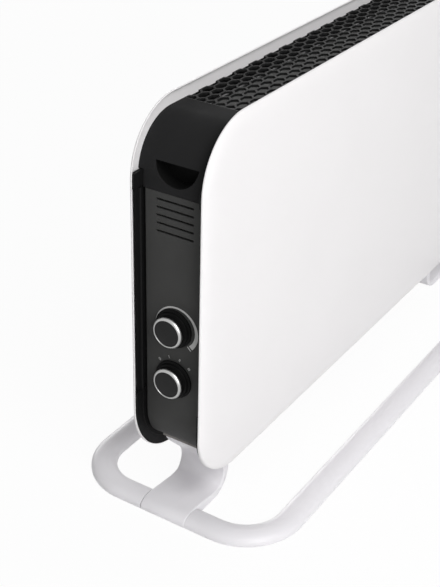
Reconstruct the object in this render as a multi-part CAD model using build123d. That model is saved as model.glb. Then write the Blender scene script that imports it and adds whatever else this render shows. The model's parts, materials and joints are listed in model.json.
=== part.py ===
from build123d import *
import os
from math import cos, radians, sin, sqrt

# A free-standing panel convector heater, in millimetres. X runs along the heater with the
# controls at the -X end, the front faces -Y and Z is up. The origin is on the floor, under
# the middle of the heater.

# Covers: two shallow pressed trays, front and rear
cover_width = 670.0
cover_height = 395.0
cover_corner = 68.0
cover_depth = 6.0
cover_sheet = 1.0
roll_width = 14.0
roll_depth = 5.0
roll_steps = 5
rim_gap = 76.2
ground_gap = 47.5

# Black core between the covers
core_inset = 14.5
skin = 2.5
seam_gap = 0.4
core_edge = 2.0
seam_below_top = 77.7
cap_length = 89.0

# Flanges of the end frames, which lie inside the covers
flange_inset = 4.5
flange_proud = 0.5
flange_thickness = 2.2
lip_inset = 0.6
lip_thickness = 2.0
lip_gap = 0.2
tab_height = 15.0
lip_height = 93.0
flange_end = 62.0
window_margin = 4.0

# Carrying pocket in each end cap
pocket_width = 48.0
pocket_height = 22.0
pocket_above_seam = 7.5
pocket_depth = 17.0
pocket_wall = 1.8

# Control panel
panel_width = 66.2
panel_foot = 83.3
panel_corner = 5.0
slot_count = 5
slot_length = 42.5
slot_height = 2.2
slot_pitch = 8.2
slot_below_seam = 7.4

# Dials, the same for the thermostat and the selector
thermostat_height = 224.2
dial_pitch = 59.1
dial_reach = 14.1
dial_radius = 16.6
dial_neck = 16.3
dial_step = 18.6
dial_step_height = 5.8
dial_skirt = 20.8
dial_skirt_height = 2.8
dial_wall = 2.0
dial_clearance = 0.5
ring_width = 2.7
ring_height = 3.4
ring_bevel = 1.6
disc_thickness = 1.7
trim_clearance = 0.05
spindle_radius = 3.0
spindle_clearance = 0.05
bush_radius = 5.0
bush_clearance = 0.15
bush_reach = 5.0
nut_across_flats = 14.0
nut_thickness = 2.2

# Honeycomb grille
cell_columns = 33
cell_rows = 16
cell_step_x = 15.25
cell_step_y = 5.42
cell_web = 1.7
smallest_cell = 0.2
grille_border = 1.6
skirt_depth = 16.0
skirt_thickness = 1.8

# Air deflector under the front of the grille
deflector_reach = 24.5
deflector_high = 3.5
deflector_low = 9.0
deflector_lip = 6.0

# Sheet metal inside
plate = 1.2
shield_sheet = 0.8
shield_gap = 6.1
shield_below_grille = 18.0
intake_columns = 15
intake_rows = 3
intake_pitch_x = 28.0
intake_pitch_y = 22.0
intake_length = 20.0
intake_width = 7.0

# Heating element: an extruded finned bar on a sheathed rod
element_height = 140.0
element_core = 7.0
fin_count = 6
fin_length = 27.0
fin_thickness = 2.0
element_end_gap = 26.0
rod_radius = 3.2
insulator_radius = 7.0
insulator_flange = 10.0
insulator_length = 14.0

# Base: two bent rails and two feet
rail_width = 28.6
rail_height = 13.0
rail_reach = 114.3
rail_overhang = 7.9
rail_corner = 55.5
rail_crown = 8.5
rail_bottom_round = 3.0
spigot_length = 18.0
spigot_inset = 2.4
spigot_clearance = 0.2
foot_width = 56.6
foot_step = 0.4
foot_plate = 5.6
foot_ramp = 9.0
foot_blend = 6.0
foot_web_x = 68.7
foot_web_inner = 20.6
foot_web_outer = 29.0
foot_web_thickness = 9.3
foot_lean = 45.0
saddle_thickness = 8.0
saddle_start = 52.0
saddle_bevel = 3.6
tongue_end = 101.0
tongue_thickness = 6.0

# Fasteners
screw_radius = 1.5
screw_clearance = 0.1
screw_head_radius = 3.4
screw_head_height = 2.0
screw_length = 8.0

# Cord gland
gland_barrel = 7.0
gland_bore = 3.7
gland_flange = 10.5
gland_flange_thickness = 2.5
gland_nose = 5.0
gland_length = 14.0
gland_clearance = 0.1

# Places worked out from the sizes above
end_x = cover_width / 2
cover_top = ground_gap + cover_height
cover_middle = ground_gap + cover_height / 2
rim_y = rim_gap / 2
face_y = rim_y + cover_depth
inner_y = face_y - cover_sheet
corner_x = end_x - cover_corner
corner_low = ground_gap + cover_corner
seam_z = cover_top - seam_below_top
grille_half = end_x - cap_length
wall_inset = core_inset + skin
core_top = cover_top - core_inset
panel_face = end_x - core_inset
panel_back = end_x - wall_inset
shield_y = inner_y - shield_gap
bulkhead_x = grille_half - 5.0
foot_half = foot_width / 2
rail_x = end_x + rail_overhang - rail_width / 2
selector_height = thermostat_height - dial_pitch
gland_x = -end_x + 52.0
gland_z = corner_low + 26.0


def outline(inset):
    """Rounded outline of the covers in X and Z, drawn in by an inset."""
    width = cover_width - 2 * inset
    height = cover_height - 2 * inset
    return Pos(0, cover_middle) * RectangleRounded(width, height, cover_corner - inset)


def region(x0, z0, x1, z1):
    """Rectangle in X and Z between two corners."""
    return Pos((x0 + x1) / 2, (z0 + z1) / 2) * Rectangle(x1 - x0, z1 - z0)


def across(sketch, y0, y1):
    """Solid made by running an X and Z sketch from one Y to another."""
    return extrude(Plane.XZ.offset(-y0) * sketch, amount=-(y1 - y0))


def block(x0, x1, y0, y1, z0, z1):
    """Box between two corners."""
    return Pos((x0 + x1) / 2, (y0 + y1) / 2, (z0 + z1) / 2) * Box(x1 - x0, y1 - y0, z1 - z0)


def rod_x(radius, x0, x1, y, z):
    """Round bar along X."""
    return Pos((x0 + x1) / 2, y, z) * Rot(0, 90, 0) * Cylinder(radius, abs(x1 - x0))


def rod_y(radius, y0, y1, x, z):
    """Round bar along Y."""
    return Pos(x, (y0 + y1) / 2, z) * Rot(90, 0, 0) * Cylinder(radius, abs(y1 - y0))


def rod_z(radius, z0, z1, x, y):
    """Round bar along Z."""
    return Pos(x, y, (z0 + z1) / 2) * Cylinder(radius, abs(z1 - z0))


def other_end(part):
    """The same piece at the +X end."""
    return mirror(part, about=Plane.YZ)


# Covers

def rolled_block(wall):
    """Block with a straight rim and an edge that rolls over onto the face, as a quarter
    of an ellipse, drawn in by a wall."""
    width = roll_width - wall
    depth = roll_depth - wall
    levels = [(wall, rim_y)]
    for step in range(roll_steps + 1):
        angle = radians(90 * step / roll_steps)
        y = face_y - roll_depth + depth * sin(angle)
        levels.append((wall + width * (1 - cos(angle)), y))
    sections = [Plane.XZ.offset(y) * outline(inset) for inset, y in levels]
    return loft(sections, ruled=True)


def front_cover():
    """Pressed tray with a rolled edge and a short straight rim towards the core."""
    return rolled_block(0) - rolled_block(cover_sheet)


def cover_screw_places():
    """Screws hold the rear cover on the bosses of the two end frames."""
    x = end_x - flange_inset - 30.0
    heights = (corner_low, cover_middle, cover_top - cover_corner)
    return [(side * x, z) for side in (-1, 1) for z in heights]


def rear_cover():
    """The front cover's mirror image, with screw holes and the cord's inlet hole."""
    cover = mirror(front_cover(), about=Plane.XZ)
    for x, z in cover_screw_places():
        cover -= rod_y(screw_radius + screw_clearance, rim_y, face_y + 1, x, z)
    return cover - rod_y(gland_barrel, rim_y, face_y + 1, gland_x, gland_z)


# Black core: end frames, caps, panels, grille

def end_frame():
    """Moulded frame at the control end: a wall that follows the core's outline, with a
    flange inside each cover, lips at the corner and at the seam, and screw bosses."""
    ring = outline(wall_inset) - outline(wall_inset + skin)
    low_end = end_x - tongue_end - 14.0
    top_end = grille_half - 5.0
    upper = ring & region(-end_x, cover_middle, -top_end, cover_top)
    lower = ring & region(-end_x, ground_gap, -low_end, cover_middle)
    frame = across(upper + lower, -inner_y, inner_y)
    tab_top = seam_z + tab_height + skin
    band = outline(flange_inset) - outline(wall_inset + skin)
    band = band & region(-end_x, ground_gap, -end_x + flange_end, tab_top)
    lip = outline(lip_inset) - outline(wall_inset)
    tab = lip & region(-end_x, seam_z + skin, -end_x + flange_end, tab_top)
    corner = lip & region(-end_x, ground_gap, -end_x + flange_end, ground_gap + lip_height)
    front = rim_y - flange_proud
    lip_front = rim_y - lip_gap - lip_thickness
    for side in (-1, 1):
        frame += across(band, side * front, side * (front + flange_thickness))
        frame += across(tab + corner, side * lip_front, side * (rim_y - lip_gap))
    frame -= pocket_bowl(pocket_wall + seam_gap)
    window_low = selector_height - 25.0
    window_high = thermostat_height + 25.0
    half = panel_width / 2 - window_margin
    frame -= block(-end_x, -end_x + 40, -half, half, window_low, window_high)
    slots_low = seam_z - slot_below_seam - slot_count * slot_pitch
    frame -= block(-end_x, -end_x + 40, -half, half, slots_low, seam_z - window_margin)
    boss_root = wall_inset + skin
    for x, z in cover_screw_places():
        if x < 0:
            boss = block(-end_x + boss_root, x + 6, inner_y - screw_length, inner_y, z - 5, z + 5)
            frame += boss - rod_y(screw_radius, inner_y - screw_length, inner_y, x, z)
    for x, y in foot_screw_places():
        wall_low = ground_gap + wall_inset
        frame += rod_z(5.0, wall_low, wall_low + screw_length, x, y)
        frame -= rod_z(screw_radius, wall_low, wall_low + screw_length, x, y)
    return frame


def pocket_bowl(grow):
    """Half-moon bowl behind the carrying pocket, grown outwards by a wall."""
    low = seam_z + pocket_above_seam
    half = pocket_width / 2
    rise = pocket_height
    radius = (half * half + rise * rise) / (2 * rise)
    disc = Pos(0, low + radius) * Circle(radius + grow)
    keep = Pos(0, low + rise / 2) * Rectangle(pocket_width + 2 * grow, rise + 2 * grow)
    moon = disc & keep
    start = -end_x
    bowl = extrude(Plane.YZ.offset(start) * moon, amount=core_inset + pocket_depth + grow)
    return bowl


def left_cap():
    """Upper end cap: the shell from the seam round the corner to the grille."""
    shell = outline(core_inset) - outline(wall_inset)
    shell = shell & region(-end_x, seam_z + seam_gap, -grille_half, cover_top)
    cap = across(shell, -inner_y, inner_y)
    outer = cap.edges().filter_by(Axis.Y, reverse=True)
    outer = outer.filter_by(lambda e: on_core_surface(e.center()))
    cap = fillet(outer, core_edge)
    flange_top = seam_z + skin + tab_height + seam_gap
    for side in (-1, 1):
        step = side * (rim_y - lip_gap - lip_thickness - seam_gap)
        y0 = min(step, side * face_y)
        y1 = max(step, side * face_y)
        cap -= block(-end_x, -end_x + flange_end, y0, y1, seam_z, flange_top)
    bowl = pocket_bowl(pocket_wall) & across(outline(core_inset + 1), -inner_y, inner_y)
    return cap + bowl - pocket_bowl(0)


def on_core_surface(point):
    """True on the outer surface of the core, near its front and rear edges."""
    if abs(abs(point.Y) - inner_y) > 0.01:
        return False
    dx = max(abs(point.X) - corner_x, 0)
    dz = max(abs(point.Z - cover_middle) - (cover_height / 2 - cover_corner), 0)
    reach = sqrt(dx * dx + dz * dz)
    return abs(reach - (cover_corner - core_inset)) < 0.6


def end_panel():
    """Lower end panel: a flat face that wraps a little way round the lower corner."""
    shell = outline(core_inset) - outline(wall_inset)
    shell = shell & region(-end_x, ground_gap, -corner_x, cover_top)
    panel = across(shell, -panel_width, panel_width)
    height = seam_z - panel_foot
    face = Pos(0, (seam_z + panel_foot) / 2) * Rectangle(panel_width, height)
    face = fillet(face.vertices().group_by(Axis.Y)[0], panel_corner)
    return panel & extrude(Plane.YZ.offset(-end_x) * face, amount=cover_corner)


def control_panel():
    """End panel with its cooling slots and the two holes for the dials' bushes."""
    panel = end_panel()
    for row in range(slot_count):
        z = seam_z - slot_below_seam - row * slot_pitch
        slot = Pos(0, z) * SlotOverall(slot_length, slot_height)
        panel -= extrude(Plane.YZ.offset(-end_x) * slot, amount=wall_inset + 1)
    for z in (thermostat_height, selector_height):
        panel -= rod_x(bush_radius + bush_clearance, -end_x, -panel_back + 1, 0, z)
    return panel


def cell():
    """One long honeycomb cell, as a face. The cells nest with a web between them."""
    stretch = cell_step_x / (cell_step_y * sqrt(3))
    half_y = cell_step_y - cell_web / 2
    side = half_y * 2 / sqrt(3)
    tip = side * stretch
    shoulder = tip / 2
    points = [(-tip, 0), (-shoulder, half_y), (shoulder, half_y)]
    points += [(tip, 0), (shoulder, -half_y), (-shoulder, -half_y)]
    return make_face(Polyline(*points, close=True))


def clipped(hole, window):
    """The hole, or what the window leaves of it, or nothing where that is a sliver."""
    box = hole.bounding_box()
    limit = window.bounding_box()
    if abs(box.center().X) + box.size.X / 2 < limit.max.X:
        if abs(box.center().Y) + box.size.Y / 2 < limit.max.Y:
            return [hole]
    left = hole & window
    if left is None or left.area < smallest_cell * hole.area:
        return []
    return [left.faces()[0]]


def top_grille():
    """Honeycomb grille between the caps, with a skirt along the front and the rear."""
    half = grille_half - seam_gap
    plate_top = core_top
    deck = Rectangle(2 * half, 2 * inner_y)
    window = Rectangle(2 * (half - grille_border), 2 * (inner_y - grille_border))
    holes = []
    for row in range(cell_rows):
        y = (row - (cell_rows - 1) / 2) * cell_step_y
        for column in range(cell_columns):
            if (row + column) % 2 == 0:
                x = (column - (cell_columns - 1) / 2) * cell_step_x
                holes += clipped(Pos(x, y) * cell(), window)
    deck = deck - holes
    grille = extrude(Pos(0, 0, plate_top - skin) * deck, amount=skin)
    low = plate_top - skin - skirt_depth
    for side in (-1, 1):
        near = side * (inner_y - skirt_thickness)
        skirt = block(-half + 8, half - 8, min(near, side * inner_y), max(near, side * inner_y),
                      low, plate_top - skin)
        grille += skirt
    return grille


def bottom_plate():
    """Steel channel under the heating chamber, with the slots that let the air in."""
    half = end_x - tongue_end - 1.0
    top = ground_gap + wall_inset
    sheet = block(-half, half, -inner_y, inner_y, top - plate, top)
    for side in (-1, 1):
        near = side * (inner_y - plate)
        low = min(near, side * inner_y)
        frame_end = end_x - tongue_end - 14.0
        sheet += block(-frame_end + 1, frame_end - 1, low, low + plate, top, top + 12)
    for row in range(intake_rows):
        y = (row - (intake_rows - 1) / 2) * intake_pitch_y
        for column in range(intake_columns):
            x = (column - (intake_columns - 1) / 2) * intake_pitch_x
            slot = Pos(x, y, top - plate / 2) * Box(intake_length, intake_width, 2 * plate)
            sheet -= slot
    return sheet


# Inside the heater

def air_deflector():
    """Dark sheet that slopes down from the front of the grille and turns the warm air
    towards the rear."""
    deck_low = core_top - skin
    half = bulkhead_x - plate
    front = -inner_y + skirt_thickness
    high = deck_low - deflector_high
    low = deck_low - deflector_low
    points = [(front, high), (deflector_reach, low), (deflector_reach, low - deflector_lip)]
    points += [(deflector_reach - shield_sheet, low - deflector_lip)]
    points += [(deflector_reach - shield_sheet, low - shield_sheet), (front, high - shield_sheet)]
    strip = make_face(Polyline(*points, close=True))
    return extrude(Plane.YZ.offset(-half) * strip, amount=2 * half)


def left_bulkhead():
    """Steel plate between the controls and the heating chamber, with folded sides."""
    low = ground_gap + wall_inset + skin
    high = core_top - skin
    sheet = block(-bulkhead_x, -bulkhead_x + plate, -shield_y, shield_y, low, high)
    for side in (-1, 1):
        near = side * (shield_y - plate)
        y0 = min(near, side * shield_y)
        fold_top = high - skin - 1.0
        sheet += block(-bulkhead_x - 8, -bulkhead_x, y0, y0 + plate, low, fold_top)
    hole = insulator_radius + spindle_clearance
    return sheet - rod_x(hole, -bulkhead_x - 1, -bulkhead_x + 2 * plate, 0, element_height)


def rear_heat_shield():
    """Bright liner between the heating chamber and the rear cover."""
    low = ground_gap + wall_inset + skin
    high = core_top - shield_below_grille
    sheet = block(-bulkhead_x, bulkhead_x, shield_y, shield_y + shield_sheet, low, high)
    standoff = inner_y - shield_y - shield_sheet
    for x in (-bulkhead_x / 2, bulkhead_x / 2):
        for z in (low + 40, high - 40):
            sheet += rod_y(4.0, shield_y + shield_sheet, shield_y + shield_sheet + standoff, x, z)
    return sheet


def heating_element():
    """Extruded bar with fins all round, bored for its rod."""
    half = bulkhead_x - element_end_gap
    star = Circle(element_core)
    for fin in range(fin_count):
        angle = 360 / fin_count * (fin + 0.5)
        blade = Pos(fin_length / 2, 0) * Rectangle(fin_length, fin_thickness)
        tip = Pos(fin_length, 0) * Rectangle(fin_thickness, 3 * fin_thickness)
        star += Rot(0, 0, angle) * (blade + tip)
    star -= Circle(rod_radius)
    return extrude(Plane.YZ.offset(-half) * Pos(0, element_height) * star, amount=2 * half)


def element_rod():
    """Sheathed rod through the finned bar, out to a terminal at each end."""
    end = bulkhead_x + insulator_length
    rod = rod_x(rod_radius, -end, end, 0, element_height)
    for side in (-1, 1):
        rod += rod_x(1.6, side * end, side * (end + 12), 0, element_height)
    return rod


def left_insulator():
    """Flanged ceramic bush that carries the rod in the bulkhead."""
    flange = 3.0
    start = -bulkhead_x + plate
    bush = rod_x(insulator_flange, start, start + flange, 0, element_height)
    bush += rod_x(insulator_radius, start - insulator_length, start, 0, element_height)
    return bush - rod_x(rod_radius, start - insulator_length, start + flange, 0, element_height)


def thermal_cutout():
    """Round bimetal cut-out clamped to the heating side of the bulkhead."""
    x = -bulkhead_x + plate
    z = element_height + 48.0
    can = rod_x(8.0, x, x + 7, 0, z)
    ears = block(x, x + 1.5, -15, 15, z - 4, z + 4)
    return can + ears


def terminal_block():
    """Three-way terminal block on the control side of the bulkhead."""
    x = -bulkhead_x
    z = element_height + 60.0
    body = block(x - 14, x, -19, 19, z - 9, z + 9)
    for way in (-1, 0, 1):
        body -= rod_z(2.2, z - 10, z + 10, x - 8, way * 12)
        body -= rod_x(2.6, x - 15, x - 8, way * 12, z)
    return body


# Controls

def turned(points, z):
    """Turn a closed outline of radius and height about a dial's axis. Height runs
    outwards from the face of the control panel."""
    face = make_face(Polyline(*points, close=True))
    solid = revolve(Plane.XZ * face, Axis.Z)
    return Pos(-panel_face, 0, z) * Rot(0, -90, 0) * solid


def dial_shoulder():
    """Height at which the bright ring sits."""
    return dial_reach - ring_height


def knob(z):
    """Hollow stepped knob with a boss that grips the spindle."""
    shoulder = dial_shoulder()
    seat = dial_reach - disc_thickness
    inside = dial_neck - dial_wall
    plateau = dial_radius - ring_width - trim_clearance
    roof = shoulder - dial_wall
    boss = spindle_radius + dial_wall
    bore = spindle_radius + spindle_clearance / 2
    foot = bush_reach + dial_clearance
    soften = 0.6
    points = [(inside, dial_clearance), (dial_skirt, dial_clearance)]
    points += [(dial_skirt, dial_skirt_height - soften), (dial_skirt - soften, dial_skirt_height)]
    points += [(dial_step, dial_skirt_height), (dial_step, dial_step_height - soften)]
    points += [(dial_step - soften, dial_step_height), (dial_neck, dial_step_height)]
    points += [(dial_neck, shoulder), (plateau, shoulder), (plateau, seat), (0, seat)]
    points += [(0, spindle_end()), (bore, spindle_end()), (bore, foot), (boss, foot)]
    points += [(boss, roof), (inside, roof)]
    return turned(points, z)


def spindle_end():
    """Height of the spindle's outer end, inside the knob."""
    return dial_shoulder() + 1.0


def dial_ring(z):
    """Bright bevelled ring round the front of a knob."""
    inner = dial_radius - ring_width
    face = dial_radius - ring_bevel
    shoulder = dial_shoulder()
    points = [(inner, shoulder), (dial_radius - 0.2, shoulder), (dial_radius, shoulder + 0.3)]
    points += [(dial_radius, dial_reach - 1.5 * ring_bevel), (face + 0.5, dial_reach - 0.3)]
    points += [(face, dial_reach), (inner, dial_reach)]
    return turned(points, z)


def dial_disc(z):
    """Dark flat disc let into the ring."""
    radius = dial_radius - ring_width - trim_clearance
    seat = dial_reach - disc_thickness
    top = dial_reach - 0.3
    points = [(0, seat), (radius, seat), (radius, top - 0.3), (radius - 0.3, top), (0, top)]
    return turned(points, z)


def spindle(z):
    """Spindle from inside the switch to the knob."""
    points = [(0, -skin - 9), (spindle_radius, -skin - 9), (spindle_radius, spindle_end())]
    points += [(0, spindle_end())]
    return turned(points, z)


def switch_body(z, depth, half_y, half_z):
    """Body behind the panel with a threaded bush through it, bored for the spindle."""
    back = -panel_back + depth
    body = block(-panel_back, back, -half_y, half_y, z - half_z, z + half_z)
    body += rod_x(bush_radius, -panel_face - bush_reach, -panel_back, 0, z)
    bore = spindle_radius + spindle_clearance
    return body - rod_x(bore, -panel_face - bush_reach, -panel_back + 10, 0, z)


def bush_nut(z):
    """Hexagon nut that holds a switch on the panel, hidden in the knob."""
    hexagon = RegularPolygon(nut_across_flats / 2, 6, major_radius=False)
    hexagon -= Circle(bush_radius)
    nut = extrude(Plane.YZ.offset(-panel_face - nut_thickness) * Pos(0, z) * hexagon,
                  amount=nut_thickness)
    return nut


def thermostat_body():
    """Capillary thermostat."""
    return switch_body(thermostat_height, 30.0, 17.0, 18.0)


def selector_body():
    """Four-position rotary switch, with a row of blade terminals."""
    z = selector_height
    body = switch_body(z, 26.0, 15.0, 15.0)
    back = -panel_back + 26.0
    for way in (-1, 0, 1):
        body += block(back, back + 8, way * 9 - 3, way * 9 + 3, z - 0.4, z + 0.4)
    return body


def cord_gland():
    """Flanged gland that takes the mains cord through the rear cover, low down at the
    control end."""
    start = face_y - gland_length
    flange_face = face_y + gland_flange_thickness
    gland = rod_y(gland_flange, face_y, flange_face, gland_x, gland_z)
    gland += rod_y(gland_barrel - gland_clearance, start, flange_face, gland_x, gland_z)
    nose = Cone(gland_flange - 2, gland_flange - 4.5, gland_nose)
    gland += Pos(gland_x, flange_face + gland_nose / 2, gland_z) * Rot(-90, 0, 0) * nose
    return gland - rod_y(gland_bore, start, flange_face + gland_nose, gland_x, gland_z)


# Base

def rail_section(inset):
    """Flat-bottomed rail section, centred on its own middle, drawn in by an inset."""
    half = rail_width / 2 - inset
    low = -rail_height / 2 + inset
    high = rail_height / 2 - inset
    crown = high - rail_crown + inset
    oval = Pos(0, crown) * Ellipse(half, high - crown)
    section = (oval & region(-half, crown, half, high)) + region(-half, low, half, crown)
    bottom = section.vertices().group_by(Axis.Y)[0]
    return fillet(bottom, rail_bottom_round - inset)


def rail_path(start_y):
    """U-shaped path along the rear of the base, from one foot to the other."""
    points = [(-rail_x, start_y), (-rail_x, rail_reach), (rail_x, rail_reach), (rail_x, start_y)]
    wire = FilletPolyline(*points, radius=rail_corner)
    return Pos(0, 0, rail_height / 2) * wire


def rear_rail():
    """Bent rail behind the heater, with a thinner spigot at each end for the feet."""
    rail = sweep_section(rail_section(0), rail_path(foot_half))
    for side in (-1, 1):
        end = Plane((side * rail_x, foot_half, rail_height / 2), x_dir=(1, 0, 0),
                    z_dir=(0, -1, 0))
        rail += extrude(end * rail_section(spigot_inset), amount=spigot_length)
    return rail


def sweep_section(section, path):
    """Sweep a section that stands upright along a level path."""
    start = Plane(path @ 0, x_dir=(1, 0, 0), z_dir=path % 0)
    if start.y_dir.Z < 0:
        start = Plane(path @ 0, x_dir=(-1, 0, 0), z_dir=path % 0)
    return sweep(start * section, path=path)


def foot_screw_places():
    """Screws go up through the foot's tongue into the end frame."""
    x = -end_x + tongue_end - 12.0
    return [(x, -foot_half / 2), (x, foot_half / 2)]


def foot_profile():
    """Side outline of the foot: a sleeve on the rails, a floor plate, a curved web and
    a saddle under the core's corner, with a tongue for the screws."""
    bar_x = -rail_x
    profile = Pos(bar_x, rail_height / 2) * rail_section(-foot_step)
    profile = profile & region(bar_x - rail_width, 0, bar_x + rail_width, 2 * rail_height)
    web_x = -end_x + foot_web_x - foot_web_inner
    ramp = [(bar_x, 0), (bar_x, foot_ramp), (web_x, foot_plate), (web_x, 0)]
    profile += make_face(Polyline(*ramp, close=True))
    between = [v for v in profile.vertices() if bar_x + foot_blend < v.X < web_x - foot_blend]
    profile = fillet(between, foot_blend)
    web_z = foot_plate + foot_web_inner
    outer_x = -end_x + foot_web_x + foot_web_thickness - foot_web_outer
    lean = radians(foot_lean)
    inner_top = (web_x + foot_web_inner * cos(lean), web_z + foot_web_inner * sin(lean))
    outer_top = (outer_x + foot_web_outer * cos(lean), foot_web_outer * (1 + sin(lean)))
    bend = [Line((web_x, 0), (web_x, foot_plate))]
    bend += [CenterArc((web_x, web_z), foot_web_inner, -90, 90 + foot_lean)]
    bend += [Line(inner_top, outer_top)]
    bend += [CenterArc((outer_x, foot_web_outer), foot_web_outer, -90, 90 + foot_lean)]
    if outer_x > web_x:
        bend += [Line((web_x, 0), (outer_x, 0))]
    profile += make_face(Wire(bend))
    length = strut_length(inner_top, lean)
    rise_x = -length * sin(lean)
    rise_z = length * cos(lean)
    heel = (inner_top[0] + rise_x, inner_top[1] + rise_z)
    strut = [inner_top, outer_top, (outer_top[0] + rise_x, outer_top[1] + rise_z), heel]
    profile += make_face(Polyline(*strut, close=True))
    core = Pos(-corner_x, corner_low) * Circle(cover_corner - wall_inset)
    return profile - core + saddle_profile(heel)


def strut_length(start, lean):
    """Distance from the bend's upper end to where the strut meets the saddle's outside."""
    outer = cover_corner - wall_inset + saddle_thickness
    x = start[0] + corner_x
    z = start[1] - corner_low
    nearest = x * sin(lean) - z * cos(lean)
    return nearest - sqrt(nearest * nearest - x * x - z * z + outer * outer)


def saddle_profile(heel):
    """Saddle that wraps the frame's lower corner, from a bevelled edge above the strut's
    heel to a tongue for the screws."""
    bore = cover_corner - wall_inset
    outer = bore + saddle_thickness
    middle = Pos(-corner_x, corner_low)
    start = radians(saddle_start)
    lip = outer - saddle_bevel
    edge = (-corner_x - lip * cos(start), corner_low - lip * sin(start))
    keep = [(-corner_x, corner_low), edge, heel, (heel[0], 0), (-corner_x, 0)]
    wrap = middle * (Circle(outer) - Circle(bore)) & make_face(Polyline(*keep, close=True))
    top = ground_gap + wall_inset
    root = region(-corner_x, top - saddle_thickness, -corner_x + saddle_thickness, top)
    tongue = region(-corner_x, top - tongue_thickness, -end_x + tongue_end, top)
    return wrap + root + tongue


def left_foot():
    """Moulded foot that joins the two rails and carries one end of the heater."""
    foot = across(foot_profile(), -foot_half, foot_half)
    for side in (-1, 1):
        mouth = Plane((-rail_x, side * foot_half, rail_height / 2), x_dir=(side, 0, 0),
                      z_dir=(0, -side, 0))
        socket = rail_section(spigot_inset - spigot_clearance)
        foot -= extrude(mouth * socket, amount=spigot_length + 1)
    for x, y in foot_screw_places():
        foot -= rod_z(screw_radius + screw_clearance, 0, ground_gap + wall_inset, x, y)
    return foot


def screw(length):
    """Pan-head screw along +Z with the underside of its head at the origin."""
    shank = Pos(0, 0, length / 2) * Cylinder(screw_radius - screw_clearance, length)
    head = Cone(screw_head_radius - 1.0, screw_head_radius, screw_head_height)
    return shank + Pos(0, 0, -screw_head_height / 2) * head


def cover_screws():
    """The screws of the rear cover."""
    screws = []
    for x, z in cover_screw_places():
        screws.append(Pos(x, face_y, z) * Rot(90, 0, 0) * screw(screw_length))
    return Compound(children=screws)


def foot_screws():
    """The screws that hold the two feet."""
    top = ground_gap + wall_inset - tongue_thickness
    screws = []
    for x, y in foot_screw_places():
        for side in (-1, 1):
            screws.append(Pos(side * x, y, top) * screw(tongue_thickness + screw_length - 1))
    return Compound(children=screws)


def build_all():
    """Every sub-part by its node name."""
    return {
        "front_cover": front_cover(),
        "rear_cover": rear_cover(),
        "left_end_frame": end_frame(),
        "right_end_frame": other_end(end_frame()),
        "left_cap": left_cap(),
        "right_cap": other_end(left_cap()),
        "control_panel": control_panel(),
        "right_panel": other_end(end_panel()),
        "top_grille": top_grille(),
        "bottom_plate": bottom_plate(),
        "air_deflector": air_deflector(),
        "left_bulkhead": left_bulkhead(),
        "right_bulkhead": other_end(left_bulkhead()),
        "rear_heat_shield": rear_heat_shield(),
        "front_heat_shield": mirror(rear_heat_shield(), about=Plane.XZ),
        "heating_element": heating_element(),
        "element_rod": element_rod(),
        "left_insulator": left_insulator(),
        "right_insulator": other_end(left_insulator()),
        "thermal_cutout": thermal_cutout(),
        "terminal_block": terminal_block(),
        "thermostat_body": thermostat_body(),
        "thermostat_nut": bush_nut(thermostat_height),
        "thermostat_spindle": spindle(thermostat_height),
        "thermostat_knob": knob(thermostat_height),
        "thermostat_ring": dial_ring(thermostat_height),
        "thermostat_disc": dial_disc(thermostat_height),
        "selector_body": selector_body(),
        "selector_nut": bush_nut(selector_height),
        "selector_spindle": spindle(selector_height),
        "selector_knob": knob(selector_height),
        "selector_ring": dial_ring(selector_height),
        "selector_disc": dial_disc(selector_height),
        "cord_gland": cord_gland(),
        "rear_rail": rear_rail(),
        "front_rail": mirror(rear_rail(), about=Plane.XZ),
        "left_foot": left_foot(),
        "right_foot": other_end(left_foot()),
        "cover_screws": cover_screws(),
        "foot_screws": foot_screws(),
    }


os.makedirs("parts", exist_ok=True)
for node, part in build_all().items():
    export_step(part, os.path.join("parts", node + ".step"))
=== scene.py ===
import bpy
import json
from math import atan2, cos, pi, radians, sin, sqrt
from mathutils import Matrix, Vector


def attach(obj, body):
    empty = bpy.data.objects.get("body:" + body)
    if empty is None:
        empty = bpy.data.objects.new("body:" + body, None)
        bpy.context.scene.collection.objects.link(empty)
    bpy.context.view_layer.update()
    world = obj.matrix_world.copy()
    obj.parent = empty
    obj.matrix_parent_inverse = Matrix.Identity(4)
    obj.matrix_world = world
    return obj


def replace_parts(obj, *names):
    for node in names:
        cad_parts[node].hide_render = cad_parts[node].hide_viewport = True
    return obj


# A white panel convector heater on a rail base. X runs along the heater with the controls
# at the -X end, the front faces -Y and Z is up. Sizes are in metres unless they say mm,
# and angles are in degrees.

MM = 0.001

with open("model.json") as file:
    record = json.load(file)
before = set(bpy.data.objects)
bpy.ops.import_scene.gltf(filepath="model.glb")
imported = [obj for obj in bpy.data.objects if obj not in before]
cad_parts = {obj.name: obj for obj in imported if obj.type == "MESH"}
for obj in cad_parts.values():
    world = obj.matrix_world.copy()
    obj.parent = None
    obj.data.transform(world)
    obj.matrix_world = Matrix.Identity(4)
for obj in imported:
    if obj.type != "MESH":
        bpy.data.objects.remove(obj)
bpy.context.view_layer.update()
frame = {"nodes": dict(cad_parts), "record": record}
nodes = frame["nodes"]


# Sizes shared with the solids

COVER_WIDTH = 670 * MM
COVER_HEIGHT = 395 * MM
COVER_CORNER = 68 * MM
COVER_DEPTH = 6 * MM
COVER_SHEET = 1.0 * MM
RIM_GAP = 76.2 * MM
GROUND_GAP = 47.5 * MM
CORE_INSET = 14.5 * MM
SEAM_BELOW_TOP = 77.7 * MM
THERMOSTAT_HEIGHT = 224.2 * MM
DIAL_PITCH = 59.1 * MM

# Places worked out from the sizes above

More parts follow.
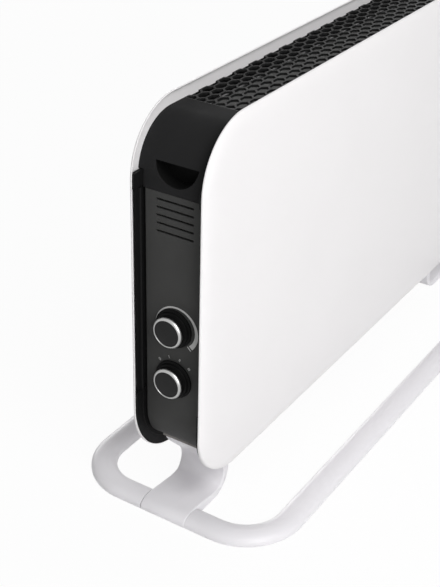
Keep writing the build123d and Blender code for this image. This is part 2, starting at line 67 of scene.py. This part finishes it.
RIM_Y = RIM_GAP / 2
FACE_Y = RIM_Y + COVER_DEPTH
COVER_MIDDLE = GROUND_GAP + COVER_HEIGHT / 2
COVER_TOP = GROUND_GAP + COVER_HEIGHT
CORNER_X = COVER_WIDTH / 2 - COVER_CORNER
CORNER_TOP = COVER_TOP - COVER_CORNER
CAP_RADIUS = COVER_CORNER - CORE_INSET
SEAM = COVER_TOP - SEAM_BELOW_TOP
PANEL_FACE = COVER_WIDTH / 2 - CORE_INSET
SELECTOR_HEIGHT = THERMOSTAT_HEIGHT - DIAL_PITCH


# Materials

for node in nodes.values():
    node.data.materials.clear()
for plain in list(bpy.data.materials):
    bpy.data.materials.remove(plain)

# The span of a noise texture's values that is stretched over a whole range
NOISE_LOW = 0.3
NOISE_HIGH = 0.7


def new_material(name, colour, roughness, metallic=0.0, specular=0.5):
    """Material whose shader has these plain values, before any detail is added."""
    material = bpy.data.materials.new(name)
    material.use_nodes = True
    shader = material.node_tree.nodes["Principled BSDF"]
    shader.inputs["Base Color"].default_value = (*colour, 1)
    shader.inputs["Roughness"].default_value = roughness
    shader.inputs["Metallic"].default_value = metallic
    shader.inputs["Specular IOR Level"].default_value = specular
    return material


def noise(tree, scale, detail=3.0, stretch=(1, 1, 1)):
    """Noise in the object's own coordinates, with features of about 1 / scale metres."""
    place = tree.nodes.new("ShaderNodeTexCoord")
    mapping = tree.nodes.new("ShaderNodeMapping")
    mapping.inputs["Scale"].default_value = stretch
    texture = tree.nodes.new("ShaderNodeTexNoise")
    texture.inputs["Scale"].default_value = scale
    texture.inputs["Detail"].default_value = detail
    tree.links.new(place.outputs["Object"], mapping.inputs["Vector"])
    tree.links.new(mapping.outputs["Vector"], texture.inputs["Vector"])
    return texture.outputs["Fac"]


def vary_colour(material, colour, spread, scale):
    """The colour drifts a little lighter and darker over the surface."""
    tree = material.node_tree
    ramp = tree.nodes.new("ShaderNodeValToRGB")
    ramp.color_ramp.elements[0].position = NOISE_LOW
    ramp.color_ramp.elements[1].position = NOISE_HIGH
    ramp.color_ramp.elements[0].color = (*[c * (1 - spread) for c in colour], 1)
    ramp.color_ramp.elements[1].color = (*[min(1, c * (1 + spread)) for c in colour], 1)
    tree.links.new(noise(tree, scale), ramp.inputs["Fac"])
    shader = tree.nodes["Principled BSDF"]
    tree.links.new(ramp.outputs["Color"], shader.inputs["Base Color"])


def vary_roughness(material, low, high, scale, stretch=(1, 1, 1)):
    """The gloss drifts between two roughness values."""
    tree = material.node_tree
    span = tree.nodes.new("ShaderNodeMapRange")
    span.inputs["From Min"].default_value = NOISE_LOW
    span.inputs["From Max"].default_value = NOISE_HIGH
    span.inputs["To Min"].default_value = low
    span.inputs["To Max"].default_value = high
    tree.links.new(noise(tree, scale, stretch=stretch), span.inputs["Value"])
    shader = tree.nodes["Principled BSDF"]
    tree.links.new(span.outputs["Result"], shader.inputs["Roughness"])


def add_relief(material, scale, depth, strength, round_edge=0.0, stretch=(1, 1, 1)):
    """Fine relief of a given depth, over edges that are rounded a little in the light."""
    tree = material.node_tree
    bump = tree.nodes.new("ShaderNodeBump")
    bump.inputs["Strength"].default_value = strength
    bump.inputs["Distance"].default_value = depth
    tree.links.new(noise(tree, scale, detail=4.0, stretch=stretch), bump.inputs["Height"])
    if round_edge:
        bevel = tree.nodes.new("ShaderNodeBevel")
        bevel.samples = 6
        bevel.inputs["Radius"].default_value = round_edge
        tree.links.new(bevel.outputs["Normal"], bump.inputs["Normal"])
    shader = tree.nodes["Principled BSDF"]
    tree.links.new(bump.outputs["Normal"], shader.inputs["Normal"])


def powder_coat(name, colour):
    """Fine satin powder coat on steel: a faint orange peel and an even, soft gloss."""
    material = new_material(name, colour, roughness=0.37, specular=0.4)
    vary_colour(material, colour, spread=0.008, scale=9)
    vary_roughness(material, low=0.34, high=0.4, scale=30)
    add_relief(material, scale=1400, depth=0.12 * MM, strength=0.18)
    return material


def moulding(name, colour, roughness, grain, depth, round_edge=0.5 * MM, specular=0.3):
    """Moulded plastic with a spark-eroded grain."""
    material = new_material(name, colour, roughness, specular=specular)
    vary_colour(material, colour, spread=0.06, scale=14)
    vary_roughness(material, roughness - 0.05, roughness + 0.06, scale=60)
    add_relief(material, grain, depth, strength=0.3, round_edge=round_edge)
    return material


def plated(name, colour, roughness):
    """Satin plated metal with fine turning lines."""
    lines = (6, 1, 1)
    material = new_material(name, colour, roughness, metallic=1.0)
    vary_roughness(material, roughness - 0.06, roughness + 0.08, scale=900, stretch=lines)
    add_relief(material, scale=2500, depth=0.03 * MM, strength=0.2, stretch=lines)
    return material


def sheet_metal(name, colour, roughness, flake):
    """Zinc plated or rolled sheet, with large soft flakes in its gloss."""
    material = new_material(name, colour, roughness, metallic=1.0)
    vary_colour(material, colour, spread=0.08, scale=flake)
    vary_roughness(material, roughness - 0.08, roughness + 0.1, scale=flake * 1.7)
    add_relief(material, scale=500, depth=0.05 * MM, strength=0.15, round_edge=0.4 * MM)
    return material


def paint_pocket_shade(material, colour):
    """The carrying pocket's inside, deeper than the cap's own surface, is painted a darker black, as
    painted shade in the recess.
    """
    tree = material.node_tree
    shader = tree.nodes["Principled BSDF"]
    skin = shader.inputs["Base Color"].links[0].from_socket
    place = tree.nodes.new("ShaderNodeTexCoord")
    either_end = tree.nodes.new("ShaderNodeVectorMath")
    either_end.operation = "ABSOLUTE"
    from_corner = tree.nodes.new("ShaderNodeVectorMath")
    from_corner.operation = "SUBTRACT"
    from_corner.inputs[1].default_value = (CORNER_X, 0, CORNER_TOP)
    flat = tree.nodes.new("ShaderNodeVectorMath")
    flat.operation = "MULTIPLY"
    flat.inputs[1].default_value = (1, 0, 1)
    radius = tree.nodes.new("ShaderNodeVectorMath")
    radius.operation = "LENGTH"
    outside = tree.nodes.new("ShaderNodeMapRange")
    outside.inputs["From Min"].default_value = CAP_RADIUS - 2 * MM
    outside.inputs["From Max"].default_value = CAP_RADIUS - 1 * MM
    mix = tree.nodes.new("ShaderNodeMix")
    mix.data_type = "RGBA"
    mix.inputs["A"].default_value = (*colour, 1)
    tree.links.new(place.outputs["Object"], either_end.inputs[0])
    tree.links.new(either_end.outputs["Vector"], from_corner.inputs[0])
    tree.links.new(from_corner.outputs["Vector"], flat.inputs[0])
    tree.links.new(flat.outputs["Vector"], radius.inputs[0])
    tree.links.new(radius.outputs["Value"], outside.inputs["Value"])
    tree.links.new(outside.outputs["Result"], mix.inputs["Factor"])
    tree.links.new(skin, mix.inputs["B"])
    tree.links.new(mix.outputs["Result"], shader.inputs["Base Color"])


COVER_WHITE = (0.85, 0.835, 0.84)
BASE_WHITE = (0.8, 0.785, 0.81)
CORE_BLACK = (0.0075, 0.0075, 0.0077)
GRILLE_BLACK = (0.011, 0.011, 0.0112)
CAP_BLACK = (0.019, 0.019, 0.0195)
# Darker black painted inside the carrying pocket, as painted shade
POCKET_SHADE_BLACK = (0.006, 0.006, 0.006)
KNOB_BLACK = (0.0055, 0.0055, 0.0055)
DISC_GREY = (0.0185, 0.0185, 0.0185)
PANEL_GREY = (0.051, 0.051, 0.05)
SILVER = (0.46, 0.46, 0.455)
# Dark grey of the strips that paint the shade under the core's corner on the feet
SHADE_PAD_GREY = (0.26, 0.245, 0.235)
PRINT_GREY = (0.52, 0.52, 0.515)
DARK_SHEET_GREY = (0.16, 0.16, 0.157)
CERAMIC_CREAM = (0.7, 0.67, 0.6)
TERMINAL_WHITE = (0.7, 0.69, 0.65)
SWITCH_BROWN = (0.09, 0.05, 0.03)
RUBBER_BLACK = (0.015, 0.015, 0.015)
STEEL = (0.45, 0.45, 0.46)
ZINC = (0.36, 0.365, 0.37)
BRIGHT_ALUMINIUM = (0.5, 0.505, 0.51)
BARE_ALUMINIUM = (0.32, 0.325, 0.33)

# Finishes that are named again below
cover_white = powder_coat("cover_white", COVER_WHITE)
foot_white = moulding("foot_white", BASE_WHITE, 0.4, grain=1800, depth=0.05 * MM)
core_black = moulding("core_black", CORE_BLACK, 0.45, grain=2200, depth=0.08 * MM, specular=0.08)
grille_black = moulding("grille_black", GRILLE_BLACK, 0.4, grain=2200, depth=0.08 * MM, specular=0.17)
cap_black = moulding("cap_black", CAP_BLACK, 0.5, grain=2200, depth=0.1 * MM, specular=0.03)
# The pocket's inside is painted darker, as painted shade in the recess
paint_pocket_shade(cap_black, POCKET_SHADE_BLACK)
knob_black = moulding("knob_black", KNOB_BLACK, 0.42, grain=2600, depth=0.03 * MM, specular=0.05)
disc_grey = moulding("disc_grey", DISC_GREY, 0.5, grain=3000, depth=0.05 * MM, specular=0.1)
satin_silver = plated("satin_silver", SILVER, 0.36)
# Painted shade on the feet, under the core's corner
pad_grey = moulding("pad_grey", SHADE_PAD_GREY, 0.6, grain=1600, depth=0.1 * MM)
print_grey = moulding("print_grey", PRINT_GREY, 0.45, grain=4000, depth=0.02 * MM, round_edge=0.0)

# Finishes that only solids wear, each found by the name of its slot in the record
powder_coat("base_white", BASE_WHITE)
moulding("panel_grey", PANEL_GREY, 0.55, grain=2400, depth=0.12 * MM, specular=0.1)
moulding("dark_sheet", DARK_SHEET_GREY, 0.6, grain=900, depth=0.1 * MM)
moulding("ceramic", CERAMIC_CREAM, 0.6, grain=1500, depth=0.1 * MM)
moulding("terminal_white", TERMINAL_WHITE, 0.4, grain=1500, depth=0.05 * MM)
moulding("switch_brown", SWITCH_BROWN, 0.35, grain=1200, depth=0.08 * MM)
moulding("gland_rubber", RUBBER_BLACK, 0.75, grain=1600, depth=0.15 * MM)
plated("rod_steel", STEEL, 0.35)
sheet_metal("zinc_sheet", ZINC, 0.45, flake=60)
sheet_metal("bright_aluminium", BRIGHT_ALUMINIUM, 0.4, flake=25)
sheet_metal("bare_aluminium", BARE_ALUMINIUM, 0.5, flake=90)

# Every solid wears its slot's finish, but the grille's black is a little glossier
finishes = {m.name: m for m in bpy.data.materials}
for entry in frame["record"]["subparts"]:
    nodes[entry["node"]].data.materials.append(finishes[entry["material_slot"]])
nodes["top_grille"].data.materials[0] = grille_black


# Mesh helpers

SHARP_ANGLE = 35


def add_mesh(name, points, faces, material, body="heater"):
    """A smooth-shaded piece made of points and faces, riding on a body."""
    mesh = bpy.data.meshes.new(name)
    mesh.from_pydata([tuple(p) for p in points], [], faces)
    mesh.validate()
    mesh.update()
    piece = bpy.data.objects.new(name, mesh)
    bpy.context.scene.collection.objects.link(piece)
    mesh.materials.append(material)
    mesh.set_sharp_from_angle(angle=radians(SHARP_ANGLE))
    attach(piece, body)
    return piece


def bridge(rings, caps=True):
    """Faces between closed rings of equal length, and a face over the first and the last."""
    count = len(rings[0])
    points = [p for ring in rings for p in ring]
    faces = []
    for i in range(len(rings) - 1):
        for j in range(count):
            k = (j + 1) % count
            a = i * count
            b = a + count
            faces.append((a + j, a + k, b + k, b + j))
    if caps:
        last = (len(rings) - 1) * count
        faces.append(tuple(range(count - 1, -1, -1)))
        faces.append(tuple(range(last, last + count)))
    return points, faces


def arc(centre, radius, start, end, steps):
    """Points on an arc in a plane, from one angle to another."""
    points = []
    for i in range(steps + 1):
        a = radians(start + (end - start) * i / steps)
        points.append((centre[0] + radius * cos(a), centre[1] + radius * sin(a)))
    return points


def direction(before, after):
    """Unit vector from one point of a plane to another."""
    return Vector((after[0] - before[0], after[1] - before[1])).normalized()


# Covers

ROLL_WIDTH = 14 * MM
ROLL_DEPTH = 5 * MM
CROWN_WIDTH = 52 * MM
CROWN_DEPTH = 2.3 * MM
HEM_RETURN = 2.3 * MM

# Inside of the edge in mm, as insets from the outline and depths below the face
INNER_SKIN = ((1.0, 5.0), (1.6, 3.8), (2.6, 3.0), (4.0, 2.7), (16.0, 2.6), (18.0, 1.0))


def rounded_outline(inset, steps=20):
    """Outline of the covers in X and Z, drawn in by an inset, with its points in order."""
    half_z = COVER_HEIGHT / 2 - COVER_CORNER
    points = []
    for quarter, (sx, sz) in enumerate(((1, 1), (-1, 1), (-1, -1), (1, -1))):
        centre = (sx * CORNER_X, COVER_MIDDLE + sz * half_z)
        start = quarter * 90
        points += arc(centre, COVER_CORNER - inset, start, start + 90, steps)
    return points


def fall_away(reach, width, depth):
    """Depth below the crest of a quarter of an ellipse, at a reach from its low end."""
    rest = 1 - min(1, reach / width)
    return depth * (1 - sqrt(1 - rest * rest))


def pressed_line(steps=26):
    """From the flat of the face to its edge: a slight crown that ends in a tight roll."""
    points = []
    for step in range(steps + 1):
        inset = CROWN_WIDTH * (1 - cos(radians(90 - 90 * step / steps)))
        fall = fall_away(inset, ROLL_WIDTH, ROLL_DEPTH - CROWN_DEPTH)
        fall += fall_away(inset, CROWN_WIDTH, CROWN_DEPTH)
        points.append((inset, FACE_Y - fall))
    return points


def hem_return(z):
    """The hem is turned in further round the lower corners, where it hides the lip."""
    share = (GROUND_GAP + COVER_CORNER - z) / (COVER_CORNER / 2)
    return HEM_RETURN * min(1, max(0, share))


def cover(name, side):
    """Pressed cover with a rolled edge and a hemmed rim. Side is -1 in front."""
    hem = COVER_SHEET / 2
    profile = pressed_line()
    profile += arc((hem, RIM_Y + hem), hem, 180, 360, steps=6)
    for inset, drop in INNER_SKIN:
        profile.append((inset * MM, FACE_Y - drop * MM))
    profile.append((CROWN_WIDTH, FACE_Y - COVER_SHEET))
    rings = []
    for inset, y in profile:
        ring = []
        for x, z in rounded_outline(inset):
            turned_in = y - hem_return(z) if y < RIM_Y + COVER_SHEET else y
            ring.append((x, side * turned_in, z))
        rings.append(ring)
    if side < 0:
        rings.reverse()
    points, faces = bridge(rings)
    piece = add_mesh(name, points, faces, cover_white)
    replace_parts(piece, name.replace("shell", "cover"))


cover("front_shell", -1)
cover("rear_shell", 1)


# Feet

FOOT_HALF = 27.8 * MM
FOOT_ROUND = 1.3 * MM
ROUND_LEVELS = (0, 30, 60, 90)

# Centres of the control end's arcs in X and Z, and radii, all in mm
RAIL_CENTRE = (-328.6, 4.5)
SLEEVE_REACH = 14.7
SLEEVE_HEIGHT = 8.9
BEND_CENTRE = (-286.9, 26.2)
BEND_RADIUS = 20.6
HEEL_CENTRE = (-286.0, 29.0)
HEEL_RADIUS = 29.0
CORE_CENTRE = (-267.0, 115.5)
SADDLE_RADIUS = 51.0


def sleeve_top():
    """Flattened arc over the rail, from its outer side to its crown, in mm."""
    points = []
    for a in range(180, 80, -15):
        x = RAIL_CENTRE[0] + SLEEVE_REACH * cos(radians(a))
        z = RAIL_CENTRE[1] + SLEEVE_HEIGHT * sin(radians(a))
        points.append((x, z))
    return points


def foot_outline():
    """Side outline of the control end's foot in mm, as corners to be softened: a sleeve
    on the rail, a plate that runs smoothly into a curved web, and a saddle."""
    toe = [(-341.0, 0.0), (-342.9, 1.6)]
    plate = [(-320.5, 13.1), (-312.0, 12.3), (-303.0, 11.3), (-294.0, 10.2), (-284.0, 9.3)]
    bend = arc(BEND_CENTRE, BEND_RADIUS, -52, 45, steps=9)
    web = [(-283.0, 51.5), (-290.5, 59.5), (-294.5, 64.5), (-296.5, 68.5), (-297.0, 71.5)]
    saddle = arc(CORE_CENTRE, SADDLE_RADIUS, 236, 270, steps=6)
    tongue = [(-250.0, 64.5), (-234.6, 64.5), (-234.0, 61.5), (-234.6, 58.5), (-252.0, 58.5)]
    throat = [(-259.0, 57.6), (-267.0, 56.0), (-269.0, 53.0)]
    heel = arc(HEEL_CENTRE, HEEL_RADIUS, 45, -90, steps=11)
    sole = [(-300.0, 0.0), (-320.0, 0.0)]
    return toe + sleeve_top() + plate + bend + web + saddle + tongue + throat + heel + sole


def softened(line, rounds=2):
    """Closed outline with its corners cut, a quarter of each side at a time."""
    for _ in range(rounds):
        cut = []
        for i, (x, z) in enumerate(line):
            next_x, next_z = line[(i + 1) % len(line)]
            cut.append((x * 0.75 + next_x * 0.25, z * 0.75 + next_z * 0.25))
            cut.append((x * 0.25 + next_x * 0.75, z * 0.25 + next_z * 0.75))
        line = cut
    return line


def drawn_in(line, inset):
    """Closed clockwise outline whose points move inwards by an inset."""
    moved = []
    for i, (x, z) in enumerate(line):
        along = direction(line[i - 1], line[(i + 1) % len(line)])
        moved.append((x + along.y * inset, z - along.x * inset))
    return moved


def foot(name, node, side):
    """Moulded foot with softly rounded edges. Side is -1 at the control end."""
    line = [(x * MM, z * MM) for x, z in softened(foot_outline())]
    rings = []
    for end in (-1, 1):
        levels = ROUND_LEVELS if end > 0 else reversed(ROUND_LEVELS)
        for level in levels:
            y = end * (FOOT_HALF - FOOT_ROUND * (1 - sin(radians(level))))
            ring = drawn_in(line, FOOT_ROUND * (1 - cos(radians(level))))
            rings.append([(-side * x, -side * y, z) for x, z in ring])
    points, faces = bridge(rings)
    piece = add_mesh(name, points, faces, foot_white)
    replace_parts(piece, node)


foot("control_end_foot", "left_foot", -1)
foot("far_end_foot", "right_foot", 1)


# Dark grey strips on the feet, as painted shade under the core's corner, with radii in mm about the
# core's corner

SHADE_PAD_INNER = 51.1
SHADE_PAD_OUTER = 54.6
SHADE_PAD_START = 230.5
SHADE_PAD_END = 237.5
SHADE_PAD_SLANT = 1.0


def foot_shade_pad(name, side):
    """Dark grey strip between the saddle's edge and the core's corner, as painted shade under the
    overhanging core.
    """
    inner = arc(CORE_CENTRE, SHADE_PAD_INNER, SHADE_PAD_START, SHADE_PAD_END, steps=4)
    outer = arc(CORE_CENTRE, SHADE_PAD_OUTER, SHADE_PAD_END, SHADE_PAD_START + SHADE_PAD_SLANT, steps=4)
    line = [(x * MM, z * MM) for x, z in softened(inner + outer, rounds=1)]
    rings = [[(-side * x, -side * y, z) for x, z in line] for y in (-FOOT_HALF, FOOT_HALF)]
    points, faces = bridge(rings)
    add_mesh(name, points, faces, pad_grey)


# Dark strips on both feet, as painted shade under the core
foot_shade_pad("control_end_shade_pad", -1)
foot_shade_pad("far_end_shade_pad", 1)


# Beads of the black ends

BEAD_INSET = 11.3 * MM
BEAD_FACE = 37.8 * MM
BEAD_WIDTH = 1.1 * MM
BEAD_RISE = 2.2 * MM
BEAD_TAIL = 12 * MM
BEAD_STEPS = 8


def bead_path():
    """Line in X and Z from the seam down and round the far end's lower corner."""
    half = COVER_WIDTH / 2 - BEAD_INSET
    low = GROUND_GAP + BEAD_INSET
    radius = COVER_CORNER - BEAD_INSET
    path = [(half, SEAM), (half, COVER_MIDDLE)]
    path += arc((half - radius, low + radius), radius, 0, -90, steps=24)
    path.append((half - radius - BEAD_TAIL, low))
    return path


def channel_bead(name, end, side):
    """Rounded bead beside the end panel. End is -1 at the controls and side is -1 in front."""
    path = bead_path()
    rings = []
    for i, (x, z) in enumerate(path):
        along = direction(path[max(0, i - 1)], path[min(len(path) - 1, i + 1)])
        ring = []
        for step in range(BEAD_STEPS + 1):
            a = radians(180 * step / BEAD_STEPS)
            out = BEAD_WIDTH * cos(a)
            rise = BEAD_RISE * sin(a)
            x_out = x - along.y * out
            z_out = z + along.x * out
            ring.append((end * x_out, side * (BEAD_FACE - rise), z_out))
        rings.append(ring)
    points, faces = bridge(rings)
    add_mesh(name, points, faces, core_black)


for end, end_name in ((-1, "control_end"), (1, "far_end")):
    for side, side_name in ((-1, "front"), (1, "rear")):
        channel_bead(f"{end_name}_bead_{side_name}", end, side)


# Dark pleated sheet behind the cooling slots, as painted shade, with sizes in mm

SHADE_SHEET_X = -311.0
SHADE_SHEET_HALF = 24
SHADE_SHEET_THICKNESS = 0.8
SHADE_SHEET_BELOW_SEAM = 4
PLEAT_COUNT = 24
PLEAT_HEIGHT = 2
PLEAT_DEPTH = 1.2


def slot_shade_sheet():
    """Black pleated sheet behind the cooling slots, a dark sheet put there as painted shade so that
    the view through them is dark.
    """
    section = []
    for step in range(PLEAT_COUNT + 1):
        pleat = PLEAT_DEPTH if step % 2 else 0
        below = SHADE_SHEET_BELOW_SEAM + PLEAT_HEIGHT * step
        section.append(((SHADE_SHEET_X + pleat) * MM, SEAM - below * MM))
    back = [(x + SHADE_SHEET_THICKNESS * MM, z) for x, z in reversed(section)]
    rings = []
    for y in (-SHADE_SHEET_HALF, SHADE_SHEET_HALF):
        rings.append([(x, y * MM, z) for x, z in section + back])
    points, faces = bridge(rings)
    add_mesh("slot_shade_sheet", points, faces, core_black)


# The black sheet paints the shade seen through the cooling slots
slot_shade_sheet()


# Dials, whose outlines are radii and reaches from the panel's face in mm

DIALS = (("thermostat", THERMOSTAT_HEIGHT), ("selector", SELECTOR_HEIGHT))

KNOB_PROFILE = [
    (14.3, 0.55), (20.4, 0.5), (20.8, 0.9), (20.8, 2.1), (20.6, 2.6), (20.1, 2.8),
    (19.2, 2.85), (18.8, 3.0), (18.65, 3.4), (18.5, 5.1), (18.2, 5.6), (17.6, 5.8),
    (16.7, 5.85), (16.4, 6.0), (16.3, 6.4), (16.1, 10.2), (16.0, 10.65), (13.9, 10.7),
    (13.85, 12.3), (6.0, 12.35), (6.0, 8.7), (14.2, 8.7),
]
RING_PROFILE = [
    (13.9, 10.8), (16.3, 10.75), (16.55, 10.9), (16.6, 11.2), (16.6, 11.7),
    (16.45, 12.3), (16.0, 12.95), (15.45, 13.5), (15.1, 13.8), (14.75, 13.98),
    (14.3, 14.0), (14.05, 13.95), (13.92, 13.75),
]
DISC_PROFILE = [
    (0.0, 12.45), (13.8, 12.45), (13.82, 13.2), (13.6, 13.5), (13.3, 13.58), (0.0, 13.62),
]


def on_dial(radius, angle, reach, height):
    """Point near a dial. The angle runs clockwise from the top, seen from the control end."""
    a = radians(angle)
    return (-PANEL_FACE - reach * MM, -radius * MM * sin(a), height + radius * MM * cos(a))


def turned(name, profile, height, material, body, steps=96):
    """Piece turned about a dial's axis from a closed outline of radius and reach."""
    rings = []
    for step in range(steps):
        angle = 360 * step / steps
        rings.append([on_dial(radius, angle, reach, height) for radius, reach in profile])
    rings.append(rings[0])
    points, faces = bridge(rings, caps=False)
    return add_mesh(name, points, faces, material, body)


for dial, height in DIALS:
    body = dial + "_dial"
    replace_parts(turned(dial + "_grip", KNOB_PROFILE, height, knob_black, body), dial + "_knob")
    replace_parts(turned(dial + "_trim", RING_PROFILE, height, satin_silver, body), dial + "_ring")
    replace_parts(turned(dial + "_face", DISC_PROFILE, height, disc_grey, body), dial + "_disc")


# Printed scales on the control panel, with sizes in mm

PRINT_RISE = 0.06

GAUGE_START = -105
GAUGE_END = 131
GAUGE_RADIUS = 25.0
GAUGE_SHIFT = 2.9
GAUGE_SHIFT_ANGLE = 115
GAUGE_THINNEST = 1.6
GAUGE_GROWTH = 3.4

STOP_INNER = 22.3
STOP_OUTER = 27.8
STOP_START = 135.0
STOP_STEP = 0.8

MARK_RADIUS = 24.6
MARK_START = -45
MARK_STEP = 30
STROKE_LENGTH = 2.9
STROKE_WIDTH = 0.45
STROKE_PITCH = 1.0
STROKE_SECTION = (
    (-STROKE_WIDTH / 2, 0),
    (-STROKE_WIDTH / 2, PRINT_RISE),
    (STROKE_WIDTH / 2, PRINT_RISE),
    (STROKE_WIDTH / 2, 0),
)
NOUGHT_HALF_LENGTH = 1.35
NOUGHT_HALF_WIDTH = 0.85


def printed(name, rings, caps=True):
    """Piece of thin raised print."""
    points, faces = bridge(rings, caps=caps)
    add_mesh(name, points, faces, print_grey)


def printed_band(name, height, sections):
    """Print along a list of inner radius, outer radius and angle."""
    rings = []
    for inner, outer, angle in sections:
        corners = ((inner, 0), (inner, PRINT_RISE), (outer, PRINT_RISE), (outer, 0))
        rings.append([on_dial(radius, angle, reach, height) for radius, reach in corners])
    printed(name, rings)


def gauge_sections(steps=80):
    """The thermostat's gauge arc, off the dial's centre and wider towards its warm end."""
    sections = []
    for step in range(steps + 1):
        share = step / steps
        angle = GAUGE_START + (GAUGE_END - GAUGE_START) * share
        outer = GAUGE_RADIUS + GAUGE_SHIFT * cos(radians(angle - GAUGE_SHIFT_ANGLE))
        thickness = GAUGE_THINNEST + GAUGE_GROWTH * share ** 3
        sections.append((outer - thickness, outer, angle))
    return sections


def stop_sections(steps=3):
    """The short bar across the gauge's warm end."""
    return [(STOP_INNER, STOP_OUTER, STOP_START + STOP_STEP * step) for step in range(steps + 1)]


def mark_point(angle, out, beside, reach, height):
    """Point of a mark, out along the dial's radius at an angle and beside that radius."""
    radius = MARK_RADIUS + out
    turn = angle + atan2(beside, radius) * 180 / pi
    return on_dial(sqrt(radius * radius + beside * beside), turn, reach, height)


def printed_stroke(name, height, angle, shift):
    """One straight stroke of a mark, beside the dial's radius by a shift."""
    rings = []
    for out in (-STROKE_LENGTH / 2, STROKE_LENGTH / 2):
        ring = []
        for across, reach in STROKE_SECTION:
            ring.append(mark_point(angle, out, shift + across, reach, height))
        rings.append(ring)
    printed(name, rings)


def printed_nought(name, height, angle, steps=32):
    """The nought, an upright oval ring of print."""
    rings = []
    for step in range(steps + 1):
        a = 2 * pi * step / steps
        ring = []
        for grow, reach in STROKE_SECTION:
            out = (NOUGHT_HALF_LENGTH + grow) * cos(a)
            beside = (NOUGHT_HALF_WIDTH + grow) * sin(a)
            ring.append(mark_point(angle, out, beside, reach, height))
        rings.append(ring)
    printed(name, rings, caps=False)


printed_band("thermostat_gauge", THERMOSTAT_HEIGHT, gauge_sections())
printed_band("thermostat_gauge_stop", THERMOSTAT_HEIGHT, stop_sections())
printed_nought("selector_mark_0", SELECTOR_HEIGHT, MARK_START)
for count in (1, 2, 3):
    for stroke in range(count):
        shift = (stroke - (count - 1) / 2) * STROKE_PITCH
        name = f"selector_mark_{count}_{stroke + 1}"
        printed_stroke(name, SELECTOR_HEIGHT, MARK_START + MARK_STEP * count, shift)


# Camera, placed as in the photograph

CAMERA_PLACE = (-1.1494, -0.5718, 0.8443)
LENS_MM = 74.73
HEADING = 32.13
PITCH = -29.98
ROLL = 1.41

camera_data = bpy.data.cameras.new("camera")
camera_data.lens = LENS_MM
camera_data.clip_start = 0.05
camera_data.clip_end = 50
camera = bpy.data.objects.new("camera", camera_data)
turn = Matrix.Rotation(radians(HEADING - 90), 4, "Z")
tilt = Matrix.Rotation(radians(90 + PITCH), 4, "X")
roll = Matrix.Rotation(radians(ROLL), 4, "Z")
camera.matrix_world = Matrix.Translation(CAMERA_PLACE) @ turn @ tilt @ roll
bpy.context.scene.collection.objects.link(camera)
bpy.context.scene.camera = camera


# Floor

FLOOR_HALF = 8
FLOOR_WHITE = (0.92, 0.92, 0.92)
FLOOR_EVENNESS = 0.95


def seen_directly(tree):
    """1 for the rays of the camera, of gloss and of clear things, and 0 for light."""
    path = tree.nodes.new("ShaderNodeLightPath")
    direct = tree.nodes.new("ShaderNodeMath")
    direct.operation = "MAXIMUM"
    tree.links.new(path.outputs["Is Camera Ray"], direct.inputs[0])
    tree.links.new(path.outputs["Is Glossy Ray"], direct.inputs[1])
    clear = tree.nodes.new("ShaderNodeMath")
    clear.operation = "MAXIMUM"
    tree.links.new(direct.outputs[0], clear.inputs[0])
    tree.links.new(path.outputs["Is Transmission Ray"], clear.inputs[1])
    return clear.outputs[0]


def white_floor():
    """Matt white floor. What the camera and shiny things see of it is mostly an even
    white, and it keeps a light shadow of the heater."""
    material = new_material("floor", FLOOR_WHITE, roughness=0.9, specular=0.1)
    tree = material.node_tree
    share = tree.nodes.new("ShaderNodeMath")
    share.operation = "MULTIPLY"
    share.inputs[1].default_value = FLOOR_EVENNESS
    tree.links.new(seen_directly(tree), share.inputs[0])
    glow = tree.nodes.new("ShaderNodeEmission")
    glow.inputs["Color"].default_value = (1, 1, 1, 1)
    glow.inputs["Strength"].default_value = 1.0
    mix = tree.nodes.new("ShaderNodeMixShader")
    tree.links.new(share.outputs[0], mix.inputs[0])
    tree.links.new(tree.nodes["Principled BSDF"].outputs[0], mix.inputs[1])
    tree.links.new(glow.outputs[0], mix.inputs[2])
    tree.links.new(mix.outputs[0], tree.nodes["Material Output"].inputs["Surface"])
    return material


floor_corners = [
    (-FLOOR_HALF, -FLOOR_HALF, 0),
    (FLOOR_HALF, -FLOOR_HALF, 0),
    (FLOOR_HALF, FLOOR_HALF, 0),
    (-FLOOR_HALF, FLOOR_HALF, 0),
]
floor_mesh = bpy.data.meshes.new("floor")
floor_mesh.from_pydata(floor_corners, [], [(0, 1, 2, 3)])
floor = bpy.data.objects.new("floor", floor_mesh)
bpy.context.scene.collection.objects.link(floor)
floor_mesh.materials.append(white_floor())


# Light

def studio_world(level):
    """Even white room. It lights the heater at a level below 1, and what the camera and
    shiny things see of it is plain white."""
    world = bpy.data.worlds.new("studio")
    bpy.context.scene.world = world
    world.use_nodes = True
    tree = world.node_tree
    background = tree.nodes["Background"]
    background.inputs["Color"].default_value = (1, 1, 1, 1)
    span = tree.nodes.new("ShaderNodeMapRange")
    span.inputs["To Min"].default_value = level
    span.inputs["To Max"].default_value = 1.0
    tree.links.new(seen_directly(tree), span.inputs["Value"])
    tree.links.new(span.outputs["Result"], background.inputs["Strength"])


def softbox(name, place, target, size, watts):
    """Rectangular area lamp that faces a target."""
    data = bpy.data.lights.new(name, "AREA")
    data.shape = "RECTANGLE"
    data.size, data.size_y = size
    data.energy = watts
    lamp = bpy.data.objects.new(name, data)
    lamp.location = place
    aim = Vector(target) - Vector(place)
    lamp.rotation_euler = aim.to_track_quat("-Z", "Y").to_euler()
    bpy.context.scene.collection.objects.link(lamp)


studio_world(level=0.22)
softbox("key", place=(-2.0, -2.3, 1.4), target=(-0.2, 0, 0.2), size=(1.6, 1.4), watts=37)
softbox("top", place=(-1.0, -1.6, 2.3), target=(-0.2, 0, 0.1), size=(1.3, 1.1), watts=37)
softbox("back", place=(1.7, 2.6, 0.3), target=(0, 0, 0.25), size=(1.8, 0.5), watts=26)

bpy.context.scene.view_settings.view_transform = "Standard"
